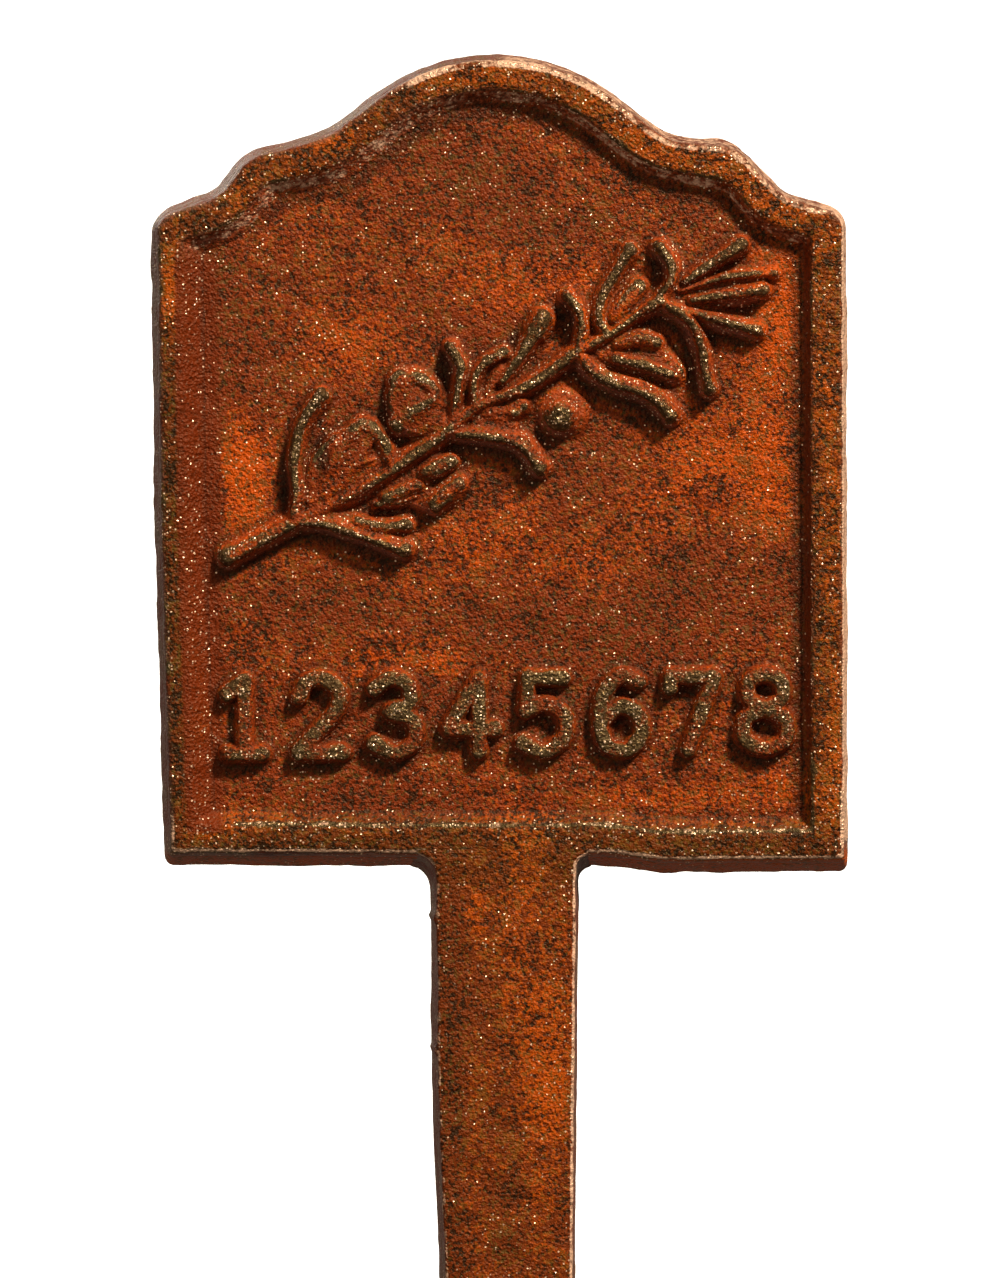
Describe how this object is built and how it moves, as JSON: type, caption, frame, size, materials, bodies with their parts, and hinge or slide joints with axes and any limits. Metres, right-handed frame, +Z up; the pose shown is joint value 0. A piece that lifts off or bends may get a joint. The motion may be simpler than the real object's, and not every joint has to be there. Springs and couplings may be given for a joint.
{
  "type": "plant label stake",
  "caption": "Cast iron plant label: an arched name plate with a raised rim and a herb sprig in relief, on a long tapering stake that is pushed into soil.",
  "frame": {"origin": "the point of the stake, on the flat back face", "axes": "+Z up along the stake, +X to the right of a reader, -Y out of the front with the relief, +Y out of the flat back"},
  "size_m": [0.08, 0.0066, 0.29],
  "materials": {
    "web_rust": "sand cast, red-brown rust with dark pits",
    "rim_rust": "sand cast, golden brown rust, rubbed bright along its edges",
    "stake_rust": "sand cast, orange-brown rust with grey-brown patches",
    "relief_rust": "rust brown, rubbed to bare grey metal on its raised tops"
  },
  "bodies": {
    "root": {"name_plate": "web_rust", "plate_rim": "rim_rust", "stake_blade": "stake_rust", "sprig_stem": "relief_rust", "flower_head": "relief_rust", "left_leaf": "relief_rust", "round_leaf": "relief_rust", "middle_leaf": "relief_rust", "lower_leaf": "relief_rust", "hanging_leaf": "relief_rust", "under_leaf": "relief_rust", "upright_blade": "relief_rust", "narrow_blade": "relief_rust", "high_blade": "relief_rust", "long_blade": "relief_rust", "top_blade": "relief_rust", "side_blade": "relief_rust", "club_bud": "relief_rust", "ball_bud": "relief_rust", "knob_bud": "relief_rust", "side_bud": "relief_rust", "low_buds": "relief_rust"}
  },
  "joints": []
}
